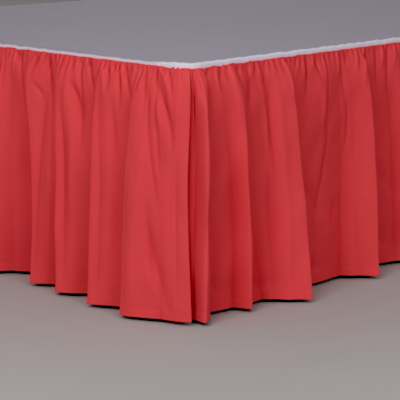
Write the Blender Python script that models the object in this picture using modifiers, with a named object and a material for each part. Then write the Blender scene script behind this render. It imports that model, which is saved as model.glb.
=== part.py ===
"""A gathered red bed skirt, split at the corners, hanging round a plain box base on legs.

Metres, +Z up. The floor is z = 0 and the origin is under the middle of the bed.
The foot of the bed looks along -Y; the head, at +Y, has no drop.
"""

import math
import random
from collections import namedtuple

import bmesh
import bpy
from mathutils import Vector

# The bed, a twin: 39 by 75 inches, with a 15 inch drop. It lies a little towards the head,
# because only the foot has a drop that stands out.
BED_WIDTH = 0.991
BED_LENGTH = 1.905
DECK_TOP = 0.381
CORNER_RADIUS = 0.030
BED_SHIFT = 0.040
FOOT_LINE = BED_SHIFT - BED_LENGTH / 2.0

# The deck, a cloth over the base with its edge turned down.
DECK_THICKNESS = 0.0015
DECK_RIM = 0.0085
DECK_EDGE_RADIUS = 0.005

# The base under the cloth.
TOUCHING_GAP = 0.0003
EDGE_CLEARANCE = 0.0022
BASE_HEIGHT = 0.200
BASE_TOP_RADIUS = 0.009
BASE_LOWER_RADIUS = 0.006
LEG_DIAMETER = 0.055
LEG_INSET = 0.110
LEG_CHAMFER = 0.003

# The drop: three gathered panels, sewn under the deck's rim.
SKIRT_THICKNESS = 0.0018
SEAM_DROP = 0.0008
HEM_HEIGHT = 0.006
HEAD_END_GAP = 0.040
SEAM_OUT = 0.0002
GATHER_PUFF = 0.0055
GATHER_DEPTH = 0.0045
GATHER_STRETCH = 0.17
COLUMN_WIDTH = 0.0135
PLEAT_ANGLE = math.radians(40.0)
# Levels on the drop, as shares of its height from the seam down: seam, top, middle, hem.
LEVELS = (0.0, 0.15, 0.50, 1.0)
# How far the drop as a whole stands out from the deck's edge at each level.
REACH = (0.0, 0.010, 0.030, 0.050)
# Share of the drop at which each row of the cloth lies.
ROWS = (0.0, 0.03, 0.08, 0.16, 0.30, 0.52, 0.76, 1.0)

# One row for each crest and valley, from a split outwards: its distance from the split at
# each level, and how far out it stands at each level below the seam.
Fold = namedtuple("Fold", "seam top middle hem out_top out_middle out_hem")

FOOT_FOLDS = (
    Fold(0.0020, 0.0020, 0.002, 0.001, 0.012, 0.036, 0.062),
    Fold(0.0240, 0.0300, 0.040, 0.040, 0.013, 0.034, 0.056),
    Fold(0.0900, 0.0970, 0.102, 0.100, 0.022, 0.050, 0.079),
    Fold(0.1020, 0.1110, 0.124, 0.124, 0.007, 0.022, 0.044),
    Fold(0.1800, 0.1820, 0.179, 0.178, 0.022, 0.048, 0.076),
    Fold(0.1930, 0.1970, 0.205, 0.208, 0.005, 0.014, 0.024),
    Fold(0.2760, 0.2730, 0.267, 0.262, 0.021, 0.045, 0.066),
    Fold(0.2890, 0.2880, 0.291, 0.290, 0.005, 0.014, 0.026),
    Fold(0.3540, 0.3460, 0.328, 0.331, 0.021, 0.043, 0.063),
    Fold(0.3700, 0.3700, 0.372, 0.376, 0.003, 0.008, 0.010),
    Fold(0.4550, 0.4580, 0.462, 0.470, 0.022, 0.045, 0.070),
    Fold(0.4800, 0.4880, 0.498, 0.510, 0.004, 0.013, 0.026),
)

RIGHT_FOLDS = (
    Fold(0.0020, 0.0000, -0.012, -0.016, 0.004, 0.017, 0.036),
    Fold(0.0110, 0.0190, 0.020, 0.017, 0.022, 0.049, 0.070),
    Fold(0.0330, 0.0400, 0.052, 0.052, 0.006, 0.014, 0.026),
    Fold(0.0890, 0.0970, 0.106, 0.118, 0.020, 0.040, 0.057),
    Fold(0.1020, 0.1110, 0.136, 0.166, 0.006, 0.015, 0.033),
    Fold(0.2010, 0.2100, 0.222, 0.217, 0.024, 0.050, 0.091),
    Fold(0.2160, 0.2260, 0.244, 0.246, 0.006, 0.012, 0.028),
    Fold(0.2900, 0.2980, 0.305, 0.300, 0.014, 0.024, 0.044),
    Fold(0.3300, 0.3400, 0.350, 0.350, 0.008, 0.018, 0.040),
    Fold(0.3950, 0.4020, 0.407, 0.398, 0.024, 0.050, 0.084),
    Fold(0.4100, 0.4180, 0.428, 0.432, 0.006, 0.015, 0.040),
    Fold(0.4900, 0.4970, 0.505, 0.510, 0.018, 0.036, 0.056),
    Fold(0.5200, 0.5290, 0.544, 0.556, 0.004, 0.012, 0.026),
)

LEFT_FOLDS = (
    Fold(0.0020, 0.0020, 0.002, 0.001, 0.012, 0.036, 0.060),
    Fold(0.0340, 0.0390, 0.048, 0.052, 0.022, 0.048, 0.073),
    Fold(0.0560, 0.0650, 0.082, 0.090, 0.005, 0.014, 0.030),
)

# The run of further folds on a side: random seed, distance from crest to crest, and how far
# out its last edge stands at each level below the seam.
Run = namedtuple("Run", "seed pitch edge_out")
FOOT_RUN = Run(11, 0.083, (0.012, 0.034, 0.060))
RIGHT_RUN = Run(23, 0.122, (0.009, 0.026, 0.046))
LEFT_RUN = Run(37, 0.118, (0.008, 0.024, 0.042))
# What varies along a run: stand-out at the hem of a crest and of a valley, the part of it
# reached at the top and in the middle, and how far a fold leans sideways.
CREST_OUT = (0.056, 0.086)
VALLEY_OUT = (0.014, 0.040)
CREST_SHARES = (0.30, 0.63)
VALLEY_SHARES = (0.18, 0.48)
LEAN = 0.014


def clear_scene():
    for old in list(bpy.data.objects):
        bpy.data.objects.remove(old, do_unlink=True)


def new_collection(name):
    collection = bpy.data.collections.new(name)
    bpy.context.scene.collection.children.link(collection)
    return collection


def material(name, colour, roughness, metallic=0.0):
    made = bpy.data.materials.new(name)
    made.use_nodes = True
    shader = made.node_tree.nodes["Principled BSDF"]
    shader.inputs["Base Color"].default_value = (*colour, 1.0)
    shader.inputs["Roughness"].default_value = roughness
    shader.inputs["Metallic"].default_value = metallic
    made.diffuse_color = (*colour, 1.0)
    return made


def finish_object(name, collection, finish):
    """Names the object just added, moves it to the bed's collection and gives it its material."""
    obj = bpy.context.active_object
    obj.name = name
    obj.data.name = name
    obj.data.materials.append(finish)
    for other in list(obj.users_collection):
        other.objects.unlink(obj)
    collection.objects.link(obj)
    return obj


def at_level(values, share):
    """A smooth line through the values at the four levels, read at one share of the drop."""
    last = len(LEVELS) - 1
    slopes = []
    for index in range(last + 1):
        before, after = max(index - 1, 0), min(index + 1, last)
        slopes.append((values[after] - values[before]) / (LEVELS[after] - LEVELS[before]))
    index = max(level for level in range(last) if LEVELS[level] <= share)
    span = LEVELS[index + 1] - LEVELS[index]
    part = (share - LEVELS[index]) / span
    rest = 1.0 - part
    return (
        values[index] * (1.0 + 2.0 * part) * rest * rest
        + slopes[index] * span * part * rest * rest
        + values[index + 1] * (3.0 - 2.0 * part) * part * part
        - slopes[index + 1] * span * part * part * rest
    )


def eased(share):
    return 0.5 - 0.5 * math.cos(math.pi * share)


def further_folds(folds, run, lengths):
    """The table's folds, then crests and valleys of the run's pitch up to the panel's end.

    lengths holds the panel's length at each level.
    """
    rng = random.Random(run.seed)
    made = list(folds)
    last = folds[-1]
    starts = (last.seam, last.top, last.middle, last.hem)
    count = max(1, round((lengths[0] - last.seam) / run.pitch))
    steps = [1.0 + 0.5 * (rng.random() - 0.5) for _ in range(2 * count + 1)]
    travelled = 0.0
    for index, step in enumerate(steps):
        travelled += step / sum(steps)
        at_edge = index == len(steps) - 1
        crest = index % 2 == 0
        lean = 0.0 if at_edge else LEAN * (rng.random() - 0.5)
        places = [
            start + (length - start) * travelled + lean * share
            for start, length, share in zip(starts, lengths, LEVELS)
        ]
        out_hem = rng.uniform(*(CREST_OUT if crest else VALLEY_OUT))
        top, middle = CREST_SHARES if crest else VALLEY_SHARES
        outs = run.edge_out if at_edge else (out_hem * top, out_hem * middle, out_hem)
        made.append(Fold(*places, *outs))
    return made


def arc_length(level):
    """Half a corner's arc, measured on the line that the cloth reaches at one level."""
    return (CORNER_RADIUS + REACH[level]) * math.pi / 4.0


def foot_lengths():
    straight = BED_WIDTH - 2.0 * CORNER_RADIUS
    end = FOOT_FOLDS[0].seam
    return [straight + 2.0 * arc_length(level) - end for level in range(len(LEVELS))]


def side_lengths():
    straight = BED_LENGTH - CORNER_RADIUS - HEAD_END_GAP
    return [straight + arc_length(level) for level in range(len(LEVELS))]


def from_corner(along, out, share):
    """(distance from the square corner along the side, distance out), for a place on the drop."""
    radius = CORNER_RADIUS + at_level(REACH, share)
    arc = radius * math.pi / 4.0
    if along >= arc:
        return CORNER_RADIUS + along - arc, out
    turn = (arc - along) / radius
    away = CORNER_RADIUS + out
    return CORNER_RADIUS - away * math.sin(turn), away * math.cos(turn) - CORNER_RADIUS


def on_foot(along, out, share):
    radius = CORNER_RADIUS + at_level(REACH, share)
    half = 0.5 * (BED_WIDTH - 2.0 * CORNER_RADIUS) + radius * math.pi / 4.0
    mirrored = along > half
    beside, beyond = from_corner(2.0 * half - along if mirrored else along, out, share)
    x = BED_WIDTH / 2.0 - beside
    return (-x if mirrored else x), FOOT_LINE - beyond


def on_right(along, out, share):
    beside, beyond = from_corner(along, out, share)
    return BED_WIDTH / 2.0 + beyond, FOOT_LINE + beside


def on_left(along, out, share):
    x, y = on_right(along, out, share)
    return -x, y


def stations_of(folds):
    """(number of the fold before, share of the way to the next) for every column of the cloth."""
    found = []
    for index in range(len(folds) - 1):
        span = folds[index + 1].middle - folds[index].middle
        count = max(2, round(span / COLUMN_WIDTH))
        found += [(index, step / count) for step in range(count)]
    return found + [(len(folds) - 2, 1.0)]


def fold_point(folds, station, share):
    """(distance along the side, distance out) on the main folds."""
    index, part = station
    along, out = [], []
    for fold in folds[index : index + 2]:
        along.append(at_level((fold.seam, fold.top, fold.middle, fold.hem), share))
        out.append(at_level((SEAM_OUT, fold.out_top, fold.out_middle, fold.out_hem), share))
    return (
        along[0] + (along[1] - along[0]) * part,
        out[0] + (out[1] - out[0]) * eased(part),
    )


def gather_height(share):
    """0 at the seam and below the gathers, 1 where they stand out most."""
    if share <= 0.0 or share >= 2.0 * GATHER_STRETCH:
        return 0.0
    return math.sin(math.pi * math.sqrt(share / (2.0 * GATHER_STRETCH)))


def pleat_depths(count, seed):
    """Small pleats, in and out by turns, each of its own depth, and none at the side hems."""
    rng = random.Random(seed)
    depths = []
    for column in range(count):
        sign = 1.0 if column % 2 else -1.0
        from_end = min(column, count - 1 - column)
        depths.append(sign * GATHER_DEPTH * rng.uniform(0.45, 1.0) * min(1.0, from_end / 3.0))
    return depths


def panel(name, folds, place, seed, collection, finish):
    """One gathered length of the drop: a grid laid on its folds, then given its thickness."""
    stations = stations_of(folds)
    pleats = pleat_depths(len(stations), seed)
    columns = len(stations) - 1
    rows = len(ROWS) - 1
    seam_height = DECK_TOP - DECK_RIM - SEAM_DROP
    bpy.ops.mesh.primitive_grid_add(x_subdivisions=columns, y_subdivisions=rows, size=1.0)
    obj = finish_object(name, collection, finish)
    for vertex in obj.data.vertices:
        column = round((vertex.co.x + 0.5) * columns)
        row = round((0.5 - vertex.co.y) * rows)
        share = ROWS[row]
        along, out = fold_point(folds, stations[column], share)
        out += gather_height(share) * (GATHER_PUFF + pleats[column])
        x, y = place(along, out, share)
        vertex.co = Vector((x, y, seam_height + (HEM_HEIGHT - seam_height) * share))
    if place is not on_right:
        obj.data.flip_normals()
    solidify = obj.modifiers.new("Thickness", "SOLIDIFY")
    solidify.thickness = SKIRT_THICKNESS
    solidify.offset = 0.0
    obj.data.shade_smooth()
    obj.data.set_sharp_from_angle(angle=PLEAT_ANGLE)


def keep_modifiers(obj):
    """Makes what the modifiers give the object's own mesh."""
    graph = bpy.context.evaluated_depsgraph_get()
    obj.data = bpy.data.meshes.new_from_object(obj.evaluated_get(graph))
    obj.modifiers.clear()


def round_edges(obj, radius, segments, chosen):
    """Rounds each edge for which chosen(one end, other end) is true."""
    weights = obj.data.attributes.get("bevel_weight_edge")
    if weights is None:
        weights = obj.data.attributes.new("bevel_weight_edge", "FLOAT", "EDGE")
    for edge in obj.data.edges:
        ends = [obj.data.vertices[index].co for index in edge.vertices]
        weights.data[edge.index].value = float(chosen(*ends))
    rounding = obj.modifiers.new("Rounding", "BEVEL")
    rounding.limit_method = "WEIGHT"
    rounding.width = radius
    rounding.segments = segments
    keep_modifiers(obj)


def box(name, size, lowest, collection, finish):
    """A plain box on the bed's middle line, standing on z = lowest."""
    middle = (0.0, BED_SHIFT, lowest + size[2] / 2.0)
    bpy.ops.mesh.primitive_cube_add(size=1.0, location=middle)
    obj = finish_object(name, collection, finish)
    obj.scale = size
    with bpy.context.temp_override(object=obj, selected_editable_objects=[obj]):
        bpy.ops.object.transform_apply(location=False, rotation=False, scale=True)
    return obj


def deck(collection, finish):
    """The cloth on top of the base: a box's skin, open below, thickened inwards."""
    size = (BED_WIDTH, BED_LENGTH, DECK_RIM)
    obj = box("deck", size, DECK_TOP - DECK_RIM, collection, finish)
    top = DECK_RIM / 2.0 - 1e-6
    round_edges(obj, CORNER_RADIUS, 6, lambda one, other: abs(one.z - other.z) > top)
    round_edges(obj, DECK_EDGE_RADIUS, 3, lambda one, other: min(one.z, other.z) > top)
    skin = bmesh.new()
    skin.from_mesh(obj.data)
    underside = [face for face in skin.faces if face.normal.z < -0.9]
    bmesh.ops.delete(skin, geom=underside, context="FACES_ONLY")
    skin.to_mesh(obj.data)
    skin.free()
    solidify = obj.modifiers.new("Thickness", "SOLIDIFY")
    solidify.thickness = DECK_THICKNESS
    solidify.offset = -1.0
    solidify.use_even_offset = True


def box_spring(collection, finish):
    inset = DECK_THICKNESS + EDGE_CLEARANCE
    top = DECK_TOP - DECK_THICKNESS - TOUCHING_GAP
    size = (BED_WIDTH - 2.0 * inset, BED_LENGTH - 2.0 * inset, BASE_HEIGHT)
    obj = box("box_spring", size, top - BASE_HEIGHT, collection, finish)
    high = BASE_HEIGHT / 2.0 - 1e-6
    round_edges(obj, CORNER_RADIUS - inset, 6, lambda one, other: abs(one.z - other.z) > high)
    round_edges(obj, BASE_TOP_RADIUS, 3, lambda one, other: min(one.z, other.z) > high)
    round_edges(obj, BASE_LOWER_RADIUS, 3, lambda one, other: max(one.z, other.z) < -high)


def leg(name, x, y, collection, finish):
    """A round leg from the floor to the underside of the base."""
    height = DECK_TOP - DECK_THICKNESS - BASE_HEIGHT - 2.0 * TOUCHING_GAP
    bpy.ops.mesh.primitive_cylinder_add(
        vertices=24, radius=LEG_DIAMETER / 2.0, depth=height, location=(x, y, height / 2.0)
    )
    obj = finish_object(name, collection, finish)
    chamfer = obj.modifiers.new("Chamfer", "BEVEL")
    chamfer.width = LEG_CHAMFER
    chamfer.segments = 2
    chamfer.limit_method = "ANGLE"
    return obj


def legs(collection, finish):
    beside = BED_WIDTH / 2.0 - LEG_INSET
    beyond = BED_LENGTH / 2.0 - LEG_INSET
    for end, away in (("foot", -beyond), ("middle", 0.0), ("head", beyond)):
        for hand, x in (("left", -beside), ("right", beside)):
            leg(f"leg_{end}_{hand}", x, BED_SHIFT + away, collection, finish)


def skirt(collection, finish):
    foot = further_folds(FOOT_FOLDS, FOOT_RUN, foot_lengths())
    right = further_folds(RIGHT_FOLDS, RIGHT_RUN, side_lengths())
    left = further_folds(LEFT_FOLDS, LEFT_RUN, side_lengths())
    panel("skirt_foot", foot, on_foot, FOOT_RUN.seed, collection, finish)
    panel("skirt_right", right, on_right, RIGHT_RUN.seed, collection, finish)
    panel("skirt_left", left, on_left, LEFT_RUN.seed, collection, finish)


def main():
    clear_scene()
    bed = new_collection("bed_skirt")
    red_cloth = material("red_cloth", (0.52, 0.035, 0.040), 0.65)
    white_cloth = material("white_cloth", (0.62, 0.60, 0.66), 0.80)
    ticking = material("ticking", (0.60, 0.57, 0.52), 0.85)
    beech = material("beech", (0.46, 0.30, 0.17), 0.50)
    skirt(bed, red_cloth)
    deck(bed, white_cloth)
    box_spring(bed, ticking)
    legs(bed, beech)


main()
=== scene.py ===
"""Looks of the bed skirt: its gathered red drops and white deck cloth, and the base under it."""

import math
import random
from collections import namedtuple

import bmesh
import bpy
import numpy as np
from mathutils import Matrix, Vector


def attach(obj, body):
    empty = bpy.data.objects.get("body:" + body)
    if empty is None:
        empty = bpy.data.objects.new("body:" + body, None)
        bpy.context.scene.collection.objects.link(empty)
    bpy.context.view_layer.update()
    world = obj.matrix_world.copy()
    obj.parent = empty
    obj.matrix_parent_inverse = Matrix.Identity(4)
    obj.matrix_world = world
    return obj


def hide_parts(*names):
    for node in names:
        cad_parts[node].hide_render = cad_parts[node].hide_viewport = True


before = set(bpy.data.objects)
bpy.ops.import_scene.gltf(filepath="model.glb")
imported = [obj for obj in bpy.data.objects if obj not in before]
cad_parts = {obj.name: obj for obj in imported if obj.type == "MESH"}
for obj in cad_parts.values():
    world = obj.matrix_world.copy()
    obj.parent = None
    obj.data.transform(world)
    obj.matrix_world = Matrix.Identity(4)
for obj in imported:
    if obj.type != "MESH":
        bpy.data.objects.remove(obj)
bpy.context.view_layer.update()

# ---- the bed, in metres

BED_WIDTH = 0.991
BED_LENGTH = 1.905
DECK_TOP = 0.381
CORNER_RADIUS = 0.030
# The bed's middle is this far behind the middle of all that is built.
BED_SHIFT = 0.040
FOOT_LINE = BED_SHIFT - BED_LENGTH / 2.0
HEAD_LINE = BED_SHIFT + BED_LENGTH / 2.0
# How far short of the head end the side drops stop.
HEAD_END_GAP = 0.040

SEAM_HEIGHT = 0.3745
HEM_HEIGHT = 0.006
DROP = SEAM_HEIGHT - HEM_HEIGHT
SEAM_OUT = -0.0012
CLOTH_THICKNESS = 0.0011

# The four levels of the tables, seam, top, middle and hem, as shares of the drop, and how much
# wider than the bed's own corner the cloth's corner is at each.
LEVELS = (0.0, 0.15, 0.50, 1.0)
REACH = (0.0, 0.010, 0.030, 0.050)

# ---- the main folds
# One row a fold, crest or valley, or a knee between them: its distance from the near corner at
# the seam, the top, the middle and the hem, then how far out it stands at the top, the middle
# and the hem. begins and ends are where the way out or in to the next row starts and is done,
# and tucked is how far it lies under the other drop at the seam.


def in_thousandths(kind, rows):
    """A table whose rows are written in thousandths: of a metre, or of the way to the next row."""
    return [kind(*(number / 1000.0 for number in row)) for row in rows]


Fold = namedtuple(
    "Fold",
    "seam top middle hem out_top out_middle out_hem begins ends tucked",
    defaults=(0.0, 1.0, 0.0),
)

FOOT_FOLDS = in_thousandths(Fold, (
    (-3, -3, 1, -4, 12, 36, 62),
    (24, 30, 40, 40, 13, 34, 56, 0, 800),
    (90, 97, 102, 100, 22, 50, 79, 0, 500),
    (102, 108.5, 125, 124, 11, 30, 49, 0, 950),
    (180, 182, 179, 178, 22, 48, 76, 0, 500),
    (193, 194, 201, 208, 11, 30, 34, 0, 950),
    (276, 273, 267, 262, 21, 45, 66, 0, 500),
    (289, 284.5, 287, 290, 11, 30, 37, 0, 950),
    (354, 346, 328, 331, 21, 43, 63, 0, 500),
    (370, 360, 354, 362, 6, 10, 6),
    (390, 395, 398, 408, 9, 27, 34),
    (412, 416, 424, 434, 22, 46, 66, 0, 500),
    (435, 442, 456, 464, 12, 28, 48),
    (480, 488, 498, 510, 4, 13, 26),
))
RIGHT_FOLDS = in_thousandths(Fold, (
    (-9, -10, -14, -17, 3, 23, 42, 0, 1000, 1.8),
    (6.9, 11.7, 12, 6, 3, 25, 47, 0, 1000, 0.8),
    (16.2, 20.4, 23, 20, 24, 48, 70),
    (29.4, 36.6, 46, 48, 6, 13, 22),
    (54, 63.1, 90, 97, 11, 19, 31),
    (86.7, 97, 105, 111, 21, 43, 59, 0, 500),
    (100, 110, 134, 162, 6, 15, 33),
    (160, 165, 171, 172, 10, 20, 45),
    (178, 185, 195, 193, 19, 41, 70),
    (201, 210, 222, 217, 24, 50, 91, 0, 600),
    (216, 226, 244, 246, 6, 12, 28),
    (290, 298, 305, 300, 13, 19, 36),
    (330, 340, 358, 352, 8, 14, 34),
    (360, 366, 379, 372, 11, 24, 54),
    (395, 402, 407, 398, 24, 50, 84, 0, 600),
    (410, 418, 428, 432, 5, 9, 26),
    (465, 472, 490, 492, 8, 19, 44),
    (490, 497, 505, 510, 18, 36, 56),
    (520, 529, 544, 556, 4, 12, 26),
))
LEFT_FOLDS = in_thousandths(Fold, (
    (2, 2, 2, 1, 12, 36, 60),
    (34, 39, 48, 52, 22, 48, 73),
    (56, 65, 82, 90, 5, 14, 30),
))

# The run of further folds on a side: random seed, distance from crest to crest, and how far
# out its last edge stands at each level below the seam.
Run = namedtuple("Run", "seed pitch edge_out")
FOOT_RUN = Run(11, 0.083, (0.012, 0.034, 0.060))
RIGHT_RUN = Run(23, 0.122, (0.009, 0.026, 0.046))
LEFT_RUN = Run(37, 0.118, (0.008, 0.024, 0.042))
# How far out they stand at the hem, what shares of that at the top and the middle, and how far
# they lean from seam to hem.
CREST_OUT = (0.056, 0.086)
VALLEY_OUT = (0.014, 0.040)
CREST_SHARES = (0.30, 0.63)
VALLEY_SHARES = (0.18, 0.48)
LEAN = 0.014
CREST_ENDS = (0.5, 0.7)
VALLEY_BEGINS = (0.0, 0.45)

# ---- creases and gathers
# A crease runs from one place to another on a drop: distance from the near corner and
# distance below the seam at each end. Then come how far it bows sideways between them, its
# half width, and its height, below 0 for a trough.

Crease = namedtuple("Crease", "start top end bottom bow width height")

FOOT_CREASES = in_thousandths(Crease, (
    (420, 0, 413, 83, -7, 3.7, -4.9), (412, 105, 416, 176, 0, 3, -2.5),
    (388, 0, 380, 25, 0, 3, -4.9), (392, 0, 393, 52, 0, 3, 2.7),
    (378, 0, 369, 106, -2, 3.7, -6.2), (331, 0, 342, 50, 7, 3.4, 3.8),
    (324, 0, 336, 44, 0, 2.6, -3.7), (320, 0, 331, 42, 1, 3, 3.3),
    (337, 45, 307, 75, -5, 6, -3.1), (313, 0, 298, 19, 0, 2.6, -4.9),
    (305, 0, 289, 91, -2, 3.7, -5.5), (300, 0, 309, 39, 0, 3, -3.7),
    (312, 0, 317, 38, 0, 3, 2.7), (267, 0, 271, 40, 2, 2.6, -3.7),
    (260, 0, 267, 41, -2, 3, 3.8), (251, 0, 257, 31, 0, 2.4, -3.1),
    (248, 0, 251, 98, 0, 4.5, 2.2), (243, 35, 219, 105, -8, 7, -4.4),
    (242, 0, 243, 29, 0, 3, -3.7), (228, 0, 218, 96, -4, 3, -4.3),
    (236, 0, 230, 40, 0, 3, 2.7), (220, 0, 203, 44, -5, 3, 3.8),
    (207, 0, 182, 73, 3, 3.4, -5.5), (178, 0, 186, 35, 0, 2.6, -3.7),
    (183, 0, 163, 60, -6, 3.7, 3.3), (173, 0, 162, 28, 0, 2.4, -2.4),
    (167, 0, 157, 53, -6, 3, -4.3), (161, 0, 148, 26, 0, 3, 3.3),
    (156, 0, 139, 22, 0, 2.6, -3.7), (142, 0, 135, 85, -8, 3.4, -4.9),
    (139, 0, 125, 51, -4, 2.6, 3.3), (126, 0, 100, 79, 0, 3.4, -4.9),
    (117, 0, 111, 23, 0, 3, -3.7), (103, 0, 113, 48, -2, 3, 2.7),
    (86, 0, 98, 54, -2, 3, -4.3), (77, 0, 92, 59, -1, 3.7, 3.3),
    (81, 0, 75, 86, -5, 3, -4.3), (64, 0, 47, 46, -2, 5.3, -5.5),
    (50, 20, 23, 122, -7, 6, -6.3), (65, 38, 65, 74, 0, 2.5, -1.9),
    (52, 36, 50, 73, 0, 2.5, -2.5), (59, 0, 28, 56, -13, 3, 3.8),
    (38, 0, 27, 57, -9, 2.6, -4.3), (48, 46, 42, 94, 0, 4, 3.1),
    (69, 19, 42, 215, 4, 4, -3.1), (50, 63, 43, 161, 0, 4, -2.5),
    (74, 109, 70, 269, 1, 12, 3.7), (62, 225, 22, 366, 3, 9.5, -3.4),
    (74, 245, 36, 366, 2, 9, 1.6), (10, 204, 7, 233, 0, 7, -1.9),
    (241, 38, 218, 152, -11, 9, -3.7), (146, 47, 137, 148, -1, 9, -3.7),
    (299, 40, 321, 390, 4, 6.5, -4), (296, 40, 311, 390, -6, 7, 3),
    (262, 40, 251, 390, -7, 6.5, -4.6), (245, 40, 239, 390, -6, 8, 3.2),
    (173, 40, 163, 390, -6, 6.5, -3.6), (159, 40, 156, 390, -9, 8, 2.6),
    (18, 110, 16, 350, 0, 9, -4.6), (62, 200, 52, 320, 0, 10, -5),
    (84, 160, 80, 380, 0, 11, 2.8),
))
RIGHT_CREASES = in_thousandths(Crease, (
    (11, 0, 13, 77, 2, 3, 3.3), (13, 0, 24, 56, -3, 3, -4.9),
    (22, 0, 24, 42, 3, 2.4, 3.3), (37, 0, 26, 45, -1, 2.4, -3.1),
    (51, 0, 65, 56, -5, 3, 3.3), (60, 0, 57, 30, 0, 3, -3.7),
    (83, 0, 97, 94, -2, 5.9, 4.3), (98, 0, 109, 37, -2, 2.4, -3.7),
    (104, 0, 113, 36, 0, 2.6, 3.3), (95, 0, 115, 20, 0, 2.4, -3.7),
    (117, 0, 124, 25, 0, 2.6, -4.3), (136, 0, 127, 25, 0, 2.4, 3.3),
    (125, 19, 125, 75, -1, 7, -3.4), (146, 0, 157, 60, -4, 3.7, 3.3),
    (157, 0, 164, 94, -3, 5.2, -2.4), (166, 0, 190, 33, 7, 2.6, 3.3),
    (177, 0, 190, 34, 2, 2.4, -3.1), (202, 0, 207, 68, 3, 3, 3.3),
    (212, 0, 232, 103, 0, 3, -5.5), (245, 0, 231, 47, -4, 2.4, 3.3),
    (239, 0, 229, 33, 0, 2.4, -3.7), (253, 0, 254, 43, -3, 2.6, 3.3),
    (262, 0, 260, 72, -2, 2.6, -4.3), (278, 0, 268, 29, 0, 2.6, 3.3),
    (284, 0, 307, 57, -10, 2.6, -4.3), (301, 0, 305, 49, -3, 2.6, 3.8),
    (305, 0, 312, 109, 3, 4.4, -3.4), (336, 0, 335, 46, 4, 3, 3.3),
    (346, 0, 368, 111, -7, 4.6, -3.6), (364, 0, 356, 31, 0, 3, -4.9),
    (387, 0, 376, 43, 0, 3.4, 3.8), (392, 0, 385, 40, 0, 2.4, -3.1),
    (412, 0, 394, 66, -6, 3, 3.8), (415, 0, 420, 115, 0, 3, -5.5),
    (445, 0, 449, 78, -5, 3.7, -4.3), (458, 0, 454, 45, 0, 3.4, 3.8),
    (475, 0, 478, 99, -8, 3, -4.9), (493, 0, 482, 41, 0, 3, 3.3),
    (153, 36, 177, 187, 0, 6, 3.7), (162, 57, 182, 196, 2, 5, -3.1),
    (313, 100, 320, 165, 2, 6, -2.6), (321, 135, 283, 285, 4, 12.5, -6.4),
    (297, 53, 303, 130, 0, 6, 3.1), (359, 75, 362, 171, 5, 4, -3.1),
    (348, 236, 327, 287, 0, 12, -3.1), (289, 322, 282, 364, 0, 6, -2.5),
    (382, 75, 379, 366, 4, 12, 3.7), (245, 325, 292, 352, 0, 20, -5.2),
    (262, 200, 310, 262, 0, 19, -4), (435, 300, 480, 345, 0, 19, -5),
    (448, 190, 500, 255, 0, 20, -4), (40, 310, 85, 350, 0, 18, -3.6),
    (125, 322, 165, 352, 0, 18, -3.6),
))

# How sharp a crease's edges are, and how it fades towards its free ends and from the seam.
TROUGH_EDGE = 1.15
RIDGE_EDGE = 1.6
FREE_FADE = 0.8
SEAM_FADE = 1.7

# Gathers that no row above gives: from the seam down, by random seed.
GATHER_PITCH = (0.009, 0.017)
GATHER_WIDTH = (0.0035, 0.0065)
GATHER_HEIGHT = (0.0024, 0.0044)
GATHER_LENGTH = (0.025, 0.095)
GATHER_LEAN = 0.014
GATHER_START = 0.016
# The cloth swells out below the seam, where its gathers are tightest.
SWELL = 0.0030
SWELL_START = 0.030
SWELL_LENGTH = 0.075
PUCKER_PITCH = (0.0045, 0.0075)
PUCKER_HEIGHT = 0.0013
PUCKER_START = 0.004
PUCKER_LENGTH = 0.018

# The low waves of cloth that hasn't been pressed.
LOW_WAVES = 9
LOW_WAVE_LENGTH = (0.035, 0.120)
LOW_WAVE_TURN = 0.6
LOW_WAVE_STEEPNESS = 0.0055
LOW_WAVE_START = 0.05

# The cloth comes no nearer to the base than this far inside the seam's line.
DEEPEST_IN = 0.0010

# Hems: the cloth is folded to this width at its lower edge and its two side edges.
HEM_WIDTH = 0.013
SIDE_HEM_WIDTH = 0.025
HEM_RELIEF = 0.0004
STITCH_DIP = 0.0002
STITCH_DIP_WIDTH = 0.0016

# Painted shade, darker and deeper red, where the cloth lies behind those around it, and painted
# highlight, paler, where it stands out: how many times the cloth is evened out to find the narrow,
# the wide and the whole recesses, each one's share, and how much that grows to the hem.
EVENINGS = (6, 64, 530)
NARROW_SHARE, WIDE_SHARE, WHOLE_SHARE = 1.8, 0.06, 0.024
RIGHT_SHADE_GROWTH = 2.4
SHADE_GROWTH = 1.1
# The painted shade where the right drop lies under the foot drop's edge, and how much painted
# shade the open fold beside it loses; the reaches are in stations.
UNDER_SHADE = 0.0016
UNDER_EDGE = 0.15
OPEN_FROM = 0.08
OPEN_TO = (0.6, 0.9)
OPEN_SHADE_LOSS = 1.3

# ---- small helpers


def only(piece):
    """Selects one piece and nothing else."""
    bpy.ops.object.select_all(action="DESELECT")
    piece.select_set(True)
    bpy.context.view_layer.objects.active = piece


def named(name, finish):
    """Names the piece just added and gives it its finish."""
    piece = bpy.context.active_object
    piece.name = name
    piece.data.name = name
    piece.data.materials.append(finish)
    return piece


def linked(name, data):
    """A new object of the scene."""
    made = bpy.data.objects.new(name, data)
    bpy.context.scene.collection.objects.link(made)
    return made


def thickened(piece, thickness, offset):
    """Gives a thin skin its thickness and smooths it."""
    layer = piece.modifiers.new("Thickness", "SOLIDIFY")
    layer.thickness = thickness
    layer.offset = offset
    only(piece)
    bpy.ops.object.modifier_apply(modifier=layer.name)
    bpy.ops.object.shade_smooth()


def corners_of(mesh):
    """The number of the point at each corner of the mesh's faces."""
    corners = np.empty(len(mesh.loops), int)
    mesh.loops.foreach_get("vertex_index", corners)
    return corners


def add_map(mesh, name, places):
    """A map of the cloth in metres, from the place of each corner."""
    flat = places.astype(np.float32).ravel()
    mesh.uv_layers.new(name=name).uv.foreach_set("vector", flat)


def add_marks(mesh, name, values):
    marks = mesh.attributes.new(name, "FLOAT", "POINT")
    marks.data.foreach_set("value", values.astype(np.float32))


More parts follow.
